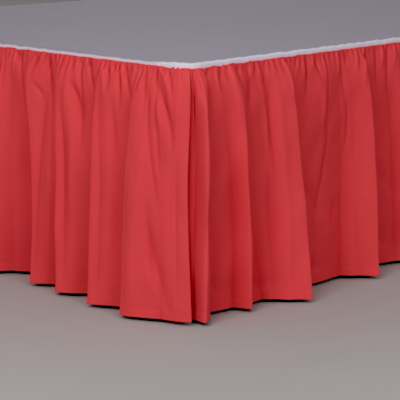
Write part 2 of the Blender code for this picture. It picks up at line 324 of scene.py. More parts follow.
def choose_faces(piece, wanted):
    """Opens the piece for editing with the faces chosen that are wanted."""
    only(piece)
    bpy.ops.object.mode_set(mode="EDIT")
    bpy.ops.mesh.select_mode(type="FACE")
    bpy.ops.mesh.select_all(action="DESELECT")
    bpy.ops.object.mode_set(mode="OBJECT")
    for face in piece.data.polygons:
        face.select = wanted(face)
    bpy.ops.object.mode_set(mode="EDIT")


def eased(part):
    """From 0 to 1, a little softer at the ends than a straight line."""
    return 0.55 * part + 0.45 * (0.5 - 0.5 * np.cos(np.pi * part))


def smooth_step(value, low, high):
    part = np.clip((value - low) / (high - low), 0.0, 1.0)
    return part * part * (3.0 - 2.0 * part)


# ---- the drops' main folds


def at_level(values, shares):
    """A smooth line through the values at the four levels, read at shares of the drop."""
    values = np.asarray(values, float)
    levels = np.asarray(LEVELS)
    last = len(levels) - 1
    before = np.maximum(np.arange(last + 1) - 1, 0)
    after = np.minimum(np.arange(last + 1) + 1, last)
    slopes = (values[after] - values[before]) / (levels[after] - levels[before])
    index = np.clip(np.searchsorted(levels, shares, side="right") - 1, 0, last - 1)
    span = levels[index + 1] - levels[index]
    part = (shares - levels[index]) / span
    rest = 1.0 - part
    return (
        values[index] * (1.0 + 2.0 * part) * rest * rest
        + slopes[index] * span * part * rest * rest
        + values[index + 1] * (3.0 - 2.0 * part) * part * part
        - slopes[index + 1] * span * part * part * rest
    )


def further_folds(folds, run, drop_ends):
    """The table's folds, then crests and valleys of the run's pitch up to the drop's end."""
    rng = random.Random(run.seed)
    made = list(folds)
    last = folds[-1]
    starts = (last.seam, last.top, last.middle, last.hem)
    count = round((drop_ends[0] - last.seam) / run.pitch)
    steps = [1.0 + 0.5 * (rng.random() - 0.5) for _ in range(2 * count + 1)]
    travelled = 0.0
    for index, step in enumerate(steps):
        travelled += step / sum(steps)
        at_edge = index == len(steps) - 1
        crest = index % 2 == 0
        lean = 0.0 if at_edge else LEAN * (rng.random() - 0.5)
        places = [
            start + (end - start) * travelled + lean * share
            for start, end, share in zip(starts, drop_ends, LEVELS)
        ]
        out_hem = rng.uniform(*(CREST_OUT if crest else VALLEY_OUT))
        top, middle = CREST_SHARES if crest else VALLEY_SHARES
        outs = run.edge_out if at_edge else (out_hem * top, out_hem * middle, out_hem)
        ways = (0.0, rng.uniform(*CREST_ENDS)) if crest else (rng.uniform(*VALLEY_BEGINS), 1.0)
        made.append(Fold(*places, *outs, *ways))
    return made


# Half a corner's arc on the line that the cloth reaches at each level, and where its drops end.
ARCS = [(CORNER_RADIUS + reach) * math.pi / 4.0 for reach in REACH]
FOOT_ENDS = [BED_WIDTH - 2.0 * CORNER_RADIUS + 2.0 * arc - FOOT_FOLDS[0].seam for arc in ARCS]
SIDE_ENDS = [BED_LENGTH - CORNER_RADIUS - HEAD_END_GAP + arc for arc in ARCS]


def from_corner(along, out, share):
    """(distance from the square corner along the side, distance out), for places on a drop."""
    radius = CORNER_RADIUS + at_level(REACH, share)
    arc = radius * math.pi / 4.0
    turn = np.maximum(arc - along, 0.0) / radius
    away = CORNER_RADIUS + out
    straight = along >= arc
    beside = np.where(straight, CORNER_RADIUS + along - arc, CORNER_RADIUS - away * np.sin(turn))
    beyond = np.where(straight, out, away * np.cos(turn) - CORNER_RADIUS)
    return beside, beyond


def on_foot(along, out, share):
    radius = CORNER_RADIUS + at_level(REACH, share)
    half = 0.5 * (BED_WIDTH - 2.0 * CORNER_RADIUS) + radius * math.pi / 4.0
    mirrored = along > half
    beside, beyond = from_corner(np.where(mirrored, 2.0 * half - along, along), out, share)
    x = BED_WIDTH / 2.0 - beside
    return np.where(mirrored, -x, x), FOOT_LINE - beyond


def on_right(along, out, share):
    beside, beyond = from_corner(along, out, share)
    return BED_WIDTH / 2.0 + beyond, FOOT_LINE + beside


def on_left(along, out, share):
    x, y = on_right(along, out, share)
    return -x, y


def on_folds(folds, stations, shares):
    """Distance along the side and distance out, at each share of the drop and each station.

    A station is a fold's number, with the share of the way to the next as its fraction.
    """
    alongs = np.array([at_level((f.seam, f.top, f.middle, f.hem), shares) for f in folds])
    levels = [(SEAM_OUT - f.tucked, f.out_top, f.out_middle, f.out_hem) for f in folds]
    outs = np.array([at_level(row, shares) for row in levels])
    index = np.minimum(stations.astype(int), len(folds) - 2)
    part = (stations - index)[:, None]
    along = alongs[index] + (alongs[index + 1] - alongs[index]) * part
    begins, ends = np.array([(f.begins, f.ends) for f in folds])[index].T[:, :, None]
    way = eased(np.clip((part - begins) / (ends - begins), 0.0, 1.0))
    out = outs[index] + (outs[index + 1] - outs[index]) * way
    return along.T, out.T


# ---- the drops' cloth


MEASURING_STATIONS = 6000
MEASURED_AT = 0.62
HEM_STEP = 0.0014
LEAST_PITCH = 0.0012


def rows_of_drop():
    """Distances below the seam of the cloth's rows: close at the gathers and at the hem."""
    above_hem = DROP - 0.018
    spans = (
        (0.0, 0.012, 0.0015),
        (0.012, 0.070, 0.0034),
        (0.070, above_hem, 0.0085),
        (above_hem, DROP, 0.0020),
    )
    rows = []
    for start, end, pitch in spans:
        count = max(1, round((end - start) / pitch))
        rows += [start + (end - start) * step / count for step in range(count)]
    return np.array(rows + [DROP])


def columns_of(plan):
    """The cloth's columns as stations, and each one's distance along the cloth.

    The cloth's length is measured at one share of the drop. A column stands on each side of
    the side hems' edges.
    """
    stations = np.linspace(0.0, len(plan.folds) - 1.0, MEASURING_STATIONS)
    along, out = on_folds(plan.folds, stations, np.array([MEASURED_AT]))
    lengths = np.concatenate([[0.0], np.cumsum(np.hypot(np.diff(along[0]), np.diff(out[0])))])
    change = np.interp(plan.fine_reach, along[0], lengths)
    near = np.linspace(0.0, change, max(2, round(change / plan.fine)))
    far = np.linspace(change, lengths[-1], max(2, round((lengths[-1] - change) / plan.coarse)))
    places = np.concatenate([near, far[1:]])
    hems = SIDE_HEM_WIDTH + np.array([-SIDE_HEM_WIDTH + 0.0015, -HEM_STEP, 0.0, HEM_STEP])
    hems = np.concatenate([hems, lengths[-1] - hems])
    clear = np.abs(places[:, None] - hems[None, :]).min(axis=1) > LEAST_PITCH
    ends = np.array([0.0, lengths[-1]])
    places = np.unique(np.concatenate([places[1:-1][clear[1:-1]], hems, ends]))
    return np.interp(places, lengths, stations), places


def crease_height(creases, along, drop):
    """The creases' height over the main folds, at each place of the cloth."""
    height = np.zeros_like(along)
    for crease in creases:
        part = (drop - crease.top) / (crease.bottom - crease.top)
        inside = np.clip(part, 0.0, 1.0)
        middle = crease.start + (crease.end - crease.start) * inside
        middle = middle + 4.0 * crease.bow * inside * (1.0 - inside)
        across = (along - middle) / crease.width
        if crease.top > 0.0:
            fade = np.sin(np.pi * inside) ** FREE_FADE
        else:
            fade = 1.0 - inside**SEAM_FADE
        edge = TROUGH_EDGE if crease.height < 0.0 else RIDGE_EDGE
        height += crease.height * fade * np.exp(-(np.abs(across) ** edge))
    return height


def seeded_gathers(start, end, seed):
    """Gathers from the seam down, ridge and trough by turns, each a crease of its own."""
    rng = random.Random(seed)
    made = []
    place = start
    sign = 1.0
    while place < end:
        place += 0.5 * rng.uniform(*GATHER_PITCH)
        lean = rng.uniform(-GATHER_LEAN, GATHER_LEAN)
        length = rng.uniform(*GATHER_LENGTH)
        height = sign * rng.uniform(*GATHER_HEIGHT)
        width = rng.uniform(*GATHER_WIDTH)
        made.append(Crease(place, 0.0, place + lean, length, 0.0, width, height))
        sign = -sign
    return made


def puckers(along, drop, seed):
    """The smallest gathers, held by the seam's stitches."""
    rng = random.Random(seed)
    places = [-0.05]
    while places[-1] < along.max() + 0.05:
        places.append(places[-1] + rng.uniform(*PUCKER_PITCH))
    signs = [1.0 if index % 2 else -1.0 for index in range(len(places))]
    heights = [rng.uniform(0.4, 1.0) * sign for sign in signs]
    wave = np.interp(along, places, heights)
    return PUCKER_HEIGHT * wave * np.exp(-((drop / PUCKER_LENGTH) ** 2))


def unevenness(along, drop, seed):
    """Low waves in all directions, as cloth that hasn't been pressed keeps."""
    rng = random.Random(seed)
    height = np.zeros_like(along)
    for _ in range(LOW_WAVES):
        length = rng.uniform(*LOW_WAVE_LENGTH)
        angle = rng.uniform(-LOW_WAVE_TURN, LOW_WAVE_TURN)
        phase = rng.uniform(0.0, 2.0 * math.pi)
        across = along * math.cos(angle) + drop * math.sin(angle)
        wave = np.sin(2.0 * math.pi * across / length + phase)
        height += LOW_WAVE_STEEPNESS * length * wave
    return height * smooth_step(drop, 0.0, LOW_WAVE_START)


def hem_relief(places, drop):
    """The folded hems: a little thicker, with a dip where the stitches draw the cloth in."""
    from_side = np.minimum(places, places.max() - places)[None, :]
    above = DROP - drop
    step = STITCH_DIP_WIDTH
    inside = np.maximum(
        smooth_step(HEM_WIDTH - above, -step, step),
        smooth_step(SIDE_HEM_WIDTH - from_side, -step, step),
    )
    dip = np.exp(-(((above - HEM_WIDTH) / step) ** 2))
    dip = dip + np.exp(-(((from_side - SIDE_HEM_WIDTH) / step) ** 2))
    return HEM_RELIEF * inside - STITCH_DIP * dip


def facing_out(points):
    """Unit vectors square to the cloth, from a grid of its points."""
    down = np.gradient(points, axis=0)
    across = np.gradient(points, axis=1)
    normals = np.cross(across, down)
    return normals / np.linalg.norm(normals, axis=2, keepdims=True)


# A drop's columns are fine up to fine_reach from the near corner. It lies under the other drop
# up to the station under, and its colour gets painted shade there.
Drop = namedtuple("Drop", "folds seed place creases fine_reach fine coarse gathers_from under")
NOT_UNDER = -2.0


def drop_points(plan):
    """(points of the cloth's grid, its painted shade at each, painted highlight below 0, lengths
    along the cloth, rows).
    """
    rows = rows_of_drop()
    shares = rows / DROP
    stations, places = columns_of(plan)
    along, out = on_folds(plan.folds, stations, shares)
    below = np.broadcast_to(rows[:, None], along.shape)
    share = np.broadcast_to(shares[:, None], along.shape)
    swell = SWELL * smooth_step(below, 0.0, SWELL_START)
    out = out + swell * np.exp(-((below / SWELL_LENGTH) ** 2))
    x, y = plan.place(along, out, share)
    points = np.stack([x, y, SEAM_HEIGHT - below], axis=2)
    gathers = seeded_gathers(plan.gathers_from, along.max(), plan.seed)
    height = smooth_step(below, 0.0, GATHER_START) * crease_height(
        list(plan.creases) + gathers, along, below
    )
    height += smooth_step(below, 0.0, PUCKER_START) * puckers(along, below, plan.seed + 1)
    height += unevenness(along, below, plan.seed + 2)
    height += hem_relief(places, below)
    height = np.maximum(height, -out - DEEPEST_IN)
    on_the_right = plan.place is on_right
    sideways = facing_out(points)
    if on_the_right:
        sideways = -sideways
    points = points + sideways * height[:, :, None]
    # The painted shade of the recesses grows towards the hem, more on the right drop.
    shade_growth = RIGHT_SHADE_GROWTH if on_the_right else SHADE_GROWTH
    shade_and_highlight = shade_and_highlight_of(points, sideways, 1.0 + shade_growth * share * share)
    # Painted shade on the part lying under the other drop, and less painted shade on the fold
    # beside it.
    under = plan.under
    covered = 1.0 - smooth_step(stations, under - UNDER_EDGE, under)
    open_side = smooth_step(stations, under, under + OPEN_FROM)
    open_side *= 1.0 - smooth_step(stations, *(under + end for end in OPEN_TO))
    shade_and_highlight = shade_and_highlight * (1.0 - OPEN_SHADE_LOSS * open_side) + UNDER_SHADE * covered
    return points, shade_and_highlight, places, rows


def evened(values, passes):
    """Values on the cloth's grid, each taken nearer the mean of its neighbours, many times."""
    for _ in range(passes):
        spread = np.concatenate([values[:, :1], values, values[:, -1:]], axis=1)
        values = 0.25 * spread[:, :-2] + 0.5 * spread[:, 1:-1] + 0.25 * spread[:, 2:]
    return values


def shade_and_highlight_of(points, sideways, shade_growth):
    """Painted shade and highlight: how far each place of the cloth lies behind those around it, in
    metres, by each share.
    """
    even = points
    shade_and_highlight = 0.0
    shares = (NARROW_SHARE, WIDE_SHARE * shade_growth, WHOLE_SHARE * shade_growth)
    for passes, share in zip(EVENINGS, shares):
        even = evened(even, passes)
        shade_and_highlight = shade_and_highlight + share * np.sum((even - points) * sideways, axis=2)
    return shade_and_highlight


def drop_cloth(name, plan, finish):
    """One gathered drop: a grid laid on its folds, gathers and creases, then thickened."""
    points, shade_and_highlight, places, rows = drop_points(plan)
    columns = len(places) - 1
    count = len(rows) - 1
    bpy.ops.mesh.primitive_grid_add(x_subdivisions=columns, y_subdivisions=count, size=1.0)
    piece = named(name, finish)
    mesh = piece.data
    flat = np.empty(len(mesh.vertices) * 3)
    mesh.vertices.foreach_get("co", flat)
    flat = flat.reshape(-1, 3)
    column = np.rint((flat[:, 0] + 0.5) * columns).astype(int)
    row = np.rint((0.5 - flat[:, 1]) * count).astype(int)
    mesh.vertices.foreach_set("co", points[row, column].ravel())
    corners = corners_of(mesh)
    along = places[column[corners]]
    up = DROP - rows[row[corners]]
    add_map(mesh, "cloth", np.stack([along, up], 1))
    add_map(mesh, "edges", np.stack([np.minimum(along, places[-1] - along), up], 1))
    add_marks(mesh, "shade_and_highlight", shade_and_highlight[row, column])
    if plan.place is not on_right:
        mesh.flip_normals()
    thickened(piece, CLOTH_THICKNESS, 0.0)
    return piece


def drops(finish):
    """The foot drop, the right drop and the left drop."""
    plans = {
        "foot": Drop(
            further_folds(FOOT_FOLDS, FOOT_RUN, FOOT_ENDS),
            FOOT_RUN.seed, on_foot, FOOT_CREASES, 0.46, 0.0017, 0.0025, 0.43, NOT_UNDER,
        ),
        "right": Drop(
            further_folds(RIGHT_FOLDS, RIGHT_RUN, SIDE_ENDS),
            RIGHT_RUN.seed, on_right, RIGHT_CREASES, 0.54, 0.0018, 0.0056, 0.50, 1.1,
        ),
        "left": Drop(
            further_folds(LEFT_FOLDS, LEFT_RUN, SIDE_ENDS),
            LEFT_RUN.seed, on_left, (), 0.30, 0.0026, 0.0034, 0.0, NOT_UNDER,
        ),
    }
    made = {}
    for side, plan in plans.items():
        piece = drop_cloth(f"{side}_drop", plan, finish)
        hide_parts(f"skirt_{side}")
        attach(piece, "root")
        made[side] = piece
    return made


# ---- the deck cloth and the base

OUTLINE_PITCH = 0.005
CORNER_STEPS = 12
FLAT_BAND = 0.0085
Ring = namedtuple("Ring", "inset height")
# The deck cloth's rings from its lower edge up: distance in from the bed's edge, and height over
# the band's lower edge.
BAND_RINGS = in_thousandths(Ring, (
    (0.6, 0), (0, 1), (0, 2.2), (0.2, 3.6), (0.4, 4.6), (1, 6),
    (1.9, 7.1), (3.2, 8), (5, 8.5),
))
# Then rings over the top, as shares of the way in to the line down its middle.
TOP_SHARES = (
    0.003, 0.020, 0.034, 0.055, 0.085, 0.13, 0.19, 0.27, 0.36, 0.46, 0.57, 0.68, 0.79, 0.90,
)
DECK_CLOTH_THICKNESS = 0.0009
CRINKLED_REACH = 0.085
# Heights of the waves along the band, and where its lit colour ends and the painted shade of the
# top begins.
EDGE_WAVE, EDGE_MOST, EDGE_SAG = 0.0007, 0.0013, 0.0008
BAND_PUCKER, CRINKLING = 0.00022, 2.2
EDGE_ROLL = 0.0005
LIT_OVER, LIT_LOSS, LIT_FADE = 0.0012, 0.0036, 0.0010
CAP_FALL = 0.0006


def outline(inset, radius):
    """Points round the bed's edge, moved in by inset, with the direction out at each."""
    half = BED_WIDTH / 2.0 - inset
    low, high = FOOT_LINE + inset, HEAD_LINE - inset
    right, front, back = half - radius, low + radius, high - radius
    centres = ((right, front), (right, back), (-right, back), (-right, front))
    points, ways = [], []
    for corner, (x, y) in enumerate(centres):
        for step in range(CORNER_STEPS + 1):
            angle = math.radians(90.0 * (corner - 1) + 90.0 * step / CORNER_STEPS)
            way = (math.cos(angle), math.sin(angle))
            ways.append(way)
            points.append((x + radius * way[0], y + radius * way[1]))
        here = np.array(points[-1])
        goal = np.array(centres[(corner + 1) % 4]) + radius * np.array(way)
        count = max(2, round(math.dist(here, goal) / OUTLINE_PITCH))
        points += [here + (goal - here) * (step / count) for step in range(1, count)]
        ways += [way] * (count - 1)
    return np.array(points), np.array(ways)


def towards_spine(points, share):
    """Points moved in towards the line down the middle of the bed."""
    reach = (BED_LENGTH - BED_WIDTH) / 2.0
    spine = np.clip(points, (0.0, BED_SHIFT - reach), (0.0, BED_SHIFT + reach))
    return points + (spine - points) * share


def ringed(name, rings, finishes, ends):
    """A skin through rings of points, lowest first.

    Its ends are "top" for a filled top, "both" for a filled top and floor, and "joined" for a
    last ring that runs on into the first.
    """
    count = len(rings[0])
    skin = bmesh.new()
    made = [[skin.verts.new(point) for point in ring] for ring in rings]
    following = made[1:] + made[:1] if ends == "joined" else made[1:]
    for lower, upper in zip(made, following):
        for index in range(count):
            after = (index + 1) % count
            skin.faces.new((lower[index], lower[after], upper[after], upper[index]))
    if ends != "joined":
        skin.faces.new(made[-1])
    if ends == "both":
        skin.faces.new(made[0][::-1])
    mesh = bpy.data.meshes.new(name)
    skin.to_mesh(mesh)
    skin.free()
    piece = linked(name, mesh)
    for finish in finishes:
        mesh.materials.append(finish)
    only(piece)
    return piece


def waves(points, seed, shortest, longest, count):
    """A value from about -1 to 1 at each point of an outline, in waves along it."""
    rng = random.Random(seed)
    steps = np.hypot(*np.diff(points, axis=0, append=points[:1]).T)
    along = np.concatenate([[0.0], np.cumsum(steps)[:-1]])
    whole = steps.sum()
    value = np.zeros(len(points))
    for _ in range(count):
        turns = round(whole / rng.uniform(shortest, longest))
        value += np.sin(2.0 * math.pi * (turns * along / whole + rng.random()))
    return value / math.sqrt(count)


def near_corner(points, reach):
    """1 at the foot end's right corner, falling to 0 at reach from it."""
    corner = np.array([BED_WIDTH / 2.0, FOOT_LINE])
    away = np.hypot(*(points - corner).T)
    return 1.0 - smooth_step(away, 0.25 * reach, reach)


def deck_cloth(finish):
    """The cloth on top of the base, its edge turned down into a narrow puckered band."""
    edge, ways = outline(0.0, CORNER_RADIUS)
    crinkled = near_corner(edge, CRINKLED_REACH)
    lower_edge = EDGE_WAVE * waves(edge, 5, 0.018, 0.060, 9)
    lower_edge = np.clip(lower_edge, -EDGE_MOST, EDGE_MOST) - EDGE_SAG * crinkled
    pucker = BAND_PUCKER * waves(edge, 6, 0.0065, 0.013, 7) * (1.0 + CRINKLING * crinkled)
    roll = EDGE_ROLL * waves(edge, 7, 0.020, 0.090, 7)
    # Painted shade: the band's marks are 1 where it has its lit white colour, falling to 0 where
    # the painted grey of the top starts, lower on the side facing the foot.
    facing_foot = np.clip(-ways[:, 1], 0.0, 1.0)
    lit_up_to = FLAT_BAND + LIT_OVER - LIT_LOSS * facing_foot * (1.0 - crinkled)
    rings, maps, marks = [], [], []
    for inset, height in BAND_RINGS:
        share = height / FLAT_BAND
        out = pucker * math.sin(math.pi * min(1.0, 0.15 + share)) - inset
        ring = edge + ways * out[:, None]
        rise = DECK_TOP - FLAT_BAND + height + lower_edge * (1.0 - share) + roll * share
        rings.append(np.column_stack([ring, np.minimum(rise, DECK_TOP + CAP_FALL)]))
        maps.append(edge + ways * (FLAT_BAND - height))
        marks.append(np.clip((lit_up_to - height) / LIT_FADE, 0.0, 1.0))
    flat, _ = outline(BAND_RINGS[-1][0], CORNER_RADIUS - BAND_RINGS[-1][0])
    for index, share in enumerate(TOP_SHARES):
        ring = towards_spine(flat, share)
        low = 0.00055 * np.sin(31.0 * ring[:, 0] + 5.0 * ring[:, 1])
        low = low + 0.00045 * np.sin(17.0 * ring[:, 1] - 9.0 * ring[:, 0] + 2.0)
        low = low * (1.0 - smooth_step(share, 0.50, 0.88)) * min(1.0, index / 4.0)
        fade = roll * max(0.0, 1.0 - index / 3.0)
        rings.append(np.column_stack([ring, DECK_TOP - CAP_FALL + fade + low]))
        maps.append(ring)
        marks.append(np.zeros(len(ring)))
    piece = ringed("deck_cloth", rings, [finish], "top")
    add_map(piece.data, "cloth", np.concatenate(maps)[corners_of(piece.data)])
    add_marks(piece.data, "band", np.concatenate(marks))
    triangulate_caps(piece)
    thickened(piece, DECK_CLOTH_THICKNESS, -1.0)
    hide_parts("deck")
    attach(piece, "root")


def triangulate_caps(piece):
    """Cuts the faces of many sides at the rings' ends into strips across the bed."""
    choose_faces(piece, lambda face: len(face.vertices) > 4)
    bpy.ops.mesh.quads_convert_to_tris(quad_method="BEAUTY", ngon_method="BEAUTY")
    bpy.ops.object.mode_set(mode="OBJECT")


BASE_INSET = 0.0037
BASE_TOP = 0.3792
BASE_HEIGHT = 0.200
BASE_STRAIN = 0.0003
PIPING_RADIUS = 0.0024
PIPING_INSET = BASE_INSET + 0.0004
PIPING_HEIGHT = BASE_TOP - BASE_HEIGHT + 0.0062
PIPING_SIDES = 8
# The base's rings, from its underside up.
BASE_PROFILE = in_thousandths(Ring, (
    (30, 0), (10, 0), (4.5, 0.4), (1.8, 1.8), (0.8, 4), (1, 6.8),
    (0.2, 12), (0, 30), (0, 55), (0.2, 80), (0.3, 105), (0.3, 130),
    (0.2, 155), (0.3, 175), (0.7, 188), (2.2, 195), (5.5, 199), (11, 200),
))


def box_spring_cover(cover, underside):
    """The base's ticking cover, filled tight, and the thin cloth stapled under it."""
    edge, ways = outline(BASE_INSET, CORNER_RADIUS - BASE_INSET)
    strain = waves(edge, 8, 0.030, 0.110, 9)
    rings = []
    for inset, height in BASE_PROFILE:
        side = BASE_STRAIN * math.sin(math.pi * height / BASE_HEIGHT)
        ring = edge - ways * (inset + side * (1.0 - strain))[:, None]
        rings.append(np.insert(ring, 2, BASE_TOP - BASE_HEIGHT + height, axis=1))
    flat = rings[-1][:, :2]
    for share in (0.10, 0.30, 0.55, 0.80):
        ring = towards_spine(flat, share)
        rings.append(np.insert(ring, 2, BASE_TOP, axis=1))
    piece = ringed("box_spring_cover", rings, [cover, underside], "both")
    for face in piece.data.polygons:
        face.material_index = int(face.normal.z < -0.8)
    triangulate_caps(piece)
    bpy.ops.object.shade_smooth()
    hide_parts("box_spring")
    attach(piece, "root")


def piping(finish):
    """The cord covered in cloth along the base's lower edge."""
    edge, ways = outline(PIPING_INSET, CORNER_RADIUS - PIPING_INSET)
    rings = []
    for side in range(PIPING_SIDES):
        angle = 2.0 * math.pi * side / PIPING_SIDES
        ring = edge + ways * (PIPING_RADIUS * math.cos(angle))
        height = PIPING_HEIGHT + PIPING_RADIUS * math.sin(angle)
        rings.append(np.insert(ring, 2, height, axis=1))
    piece = ringed("base_piping", rings, [finish], "joined")
    bpy.ops.object.shade_smooth()
    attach(piece, "root")


LEG_RADIUS = 0.0275
LEG_HEIGHT = 0.1789
LEG_INSET = 0.110
LEG_BESIDE = BED_WIDTH / 2.0 - LEG_INSET
LEG_BEYOND = BED_LENGTH / 2.0 - LEG_INSET
LEG_EASING = 0.003
GLIDE_HEIGHT = 0.004
GLIDE_INSET = 0.004
GLIDE_EASING = 0.0015


def first_leg(wood, glide):
    """A round turned leg, its edges eased, on a plastic glide."""
    bpy.ops.mesh.primitive_cylinder_add(
        vertices=48, radius=LEG_RADIUS, depth=LEG_HEIGHT - GLIDE_HEIGHT,
        location=(LEG_BESIDE, BED_SHIFT - LEG_BEYOND, (LEG_HEIGHT + GLIDE_HEIGHT) / 2.0),
    )
    leg = named("leg_foot_right_turned", wood)
    leg.data.materials.append(glide)
    bpy.ops.object.transform_apply(location=True, rotation=True, scale=True)
    choose_faces(leg, lambda face: abs(face.normal.z) > 0.9)
    bpy.ops.mesh.bevel(offset=LEG_EASING, segments=4, affect="EDGES")
    bpy.ops.object.mode_set(mode="OBJECT")
    lowest = min(face.center.z for face in leg.data.polygons)
    choose_faces(leg, lambda face: face.center.z < lowest + 1e-5)
    bpy.ops.mesh.inset(thickness=GLIDE_INSET)
    leg.active_material_index = 1
    bpy.ops.object.material_slot_assign()
    bpy.ops.mesh.extrude_region_move(TRANSFORM_OT_translate={"value": (0.0, 0.0, -GLIDE_HEIGHT)})
    bpy.ops.mesh.bevel(offset=GLIDE_EASING, segments=3, affect="EDGES")
    bpy.ops.object.mode_set(mode="OBJECT")
    bpy.ops.object.shade_smooth_by_angle(angle=math.radians(40.0))
    return leg


def legs(wood, glide):
    """Six legs: the first one modelled, and a copy moved to each of the other places."""
    first = first_leg(wood, glide)
    for end, away in (("foot", -LEG_BEYOND), ("middle", 0.0), ("head", LEG_BEYOND)):
        for hand, x in (("left", -LEG_BESIDE), ("right", LEG_BESIDE)):
            node = f"leg_{end}_{hand}"
            leg = first
            if node != "leg_foot_right":
                leg = first.copy()
                leg.data = first.data.copy()
                leg.name = f"{node}_turned"
                leg.data.name = leg.name
                bpy.context.scene.collection.objects.link(leg)
                move = Vector((x - LEG_BESIDE, away + LEG_BEYOND, 0.0))
                leg.data.transform(Matrix.Translation(move))
            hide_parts(node)
            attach(leg, "root")


# ---- finishes


def operator(operation):
    return lambda value, other: value.math(operation, other)


class Value:
    """A number or a colour in a material, for use in ordinary expressions."""

    def __init__(self, finish, socket):
        self.finish = finish
        self.socket = socket

    def math(self, operation, *others):
        inputs = dict(enumerate((self, *others)))
        return self.finish.node("ShaderNodeMath", {"operation": operation}, inputs)

    __add__ = __radd__ = operator("ADD")
    __mul__ = __rmul__ = operator("MULTIPLY")
    __sub__ = operator("SUBTRACT")
    __truediv__ = operator("DIVIDE")
    __lt__ = operator("LESS_THAN")
    __gt__ = operator("GREATER_THAN")

    def __rsub__(self, other):
        return self.finish.node("ShaderNodeMath", {"operation": "SUBTRACT"}, {0: other, 1: self})

    def wave(self, length):
        """A sine wave of this length."""
        return (self * (2.0 * math.pi / length)).math("SINE")

    def near(self, place, reach):
        """1 at a place, falling to 0 at reach on either side of it."""
        away = (self - place).math("ABSOLUTE")
        return (1.0 - away / reach).math("MAXIMUM", 0.0)


class Finish:
    """A material and its nodes."""

    def __init__(self, name, **constants):
        self.material = bpy.data.materials.new(name)
        self.material.use_nodes = True
        self.tree = self.material.node_tree
        self.shader = self.tree.nodes["Principled BSDF"]
        self.surface(**constants)

    def node(self, kind, settings=None, inputs=None, output=0):
        made = self.tree.nodes.new(kind)
        for setting, choice in (settings or {}).items():
            setattr(made, setting, choice)
        for socket, given in (inputs or {}).items():
            self.give(made.inputs[socket], given)
        return Value(self, made.outputs[output])

    def give(self, socket, given):
        if isinstance(given, Value):
            self.tree.links.new(given.socket, socket)
        else:
            socket.default_value = (*given, 1.0) if isinstance(given, tuple) else given

    def surface(self, **values):
        for socket, given in values.items():
            self.give(self.shader.inputs[socket.replace("_", " ")], given)

    def place(self):
        """(x, y, z) of the surface in the bed's own metres."""
        return self.parts(self.node("ShaderNodeTexCoord", output="Object"))

    def on_cloth(self, name):
        """Metres along and up the cloth, from one of its own maps."""
        return self.parts(self.node("ShaderNodeUVMap", {"uv_map": name}))

    def marks(self, name):
        """A number that the cloth itself holds at each of its points."""
        return self.node("ShaderNodeAttribute", {"attribute_name": name}, output="Fac")

    def parts(self, vector):
        split = self.node("ShaderNodeSeparateXYZ", None, {0: vector}).socket.node
        return [Value(self, split.outputs[axis]) for axis in range(3)]

    def noise(self, place, detail, scale=1.0, roughness=0.5):
        """Noise at a place, which may be given by its two or three parts."""
        if isinstance(place, tuple):
            place = self.node("ShaderNodeCombineXYZ", None, dict(enumerate(place)))
        inputs = {"Vector": place, "Scale": scale, "Detail": detail, "Roughness": roughness}
        return self.node("ShaderNodeTexNoise", None, inputs)

    def clouds(self, scale, detail, roughness=0.5):
        """Noise at the surface's own place."""
        here = self.node("ShaderNodeTexCoord", output="Object")
        return self.noise(here, detail, scale, roughness)

    def mixed(self, factor, one, other):
        """From one colour to another by factor, 0 to 1."""
        settings = {"data_type": "RGBA", "clamp_factor": True}
        return self.node("ShaderNodeMix", settings, {0: factor, 6: one, 7: other}, output=2)

    def bump(self, height, distance, strength=1.0):
        inputs = {"Height": height, "Distance": distance, "Strength": strength}
        self.surface(Normal=self.node("ShaderNodeBump", None, inputs))


THREAD = 0.00055
STITCH_LENGTH = 0.0034
STITCH_GAP = 0.28
SEAM_STREAKS = 0.028
HEM_HIGHLIGHT = 0.0055


def plain_weave(across, up, thread):
    """Height of a plain weave, 0 to 1: threads over and under each other by turns."""
    return 0.5 + 0.5 * (across.wave(2.0 * thread) * up.wave(2.0 * thread))


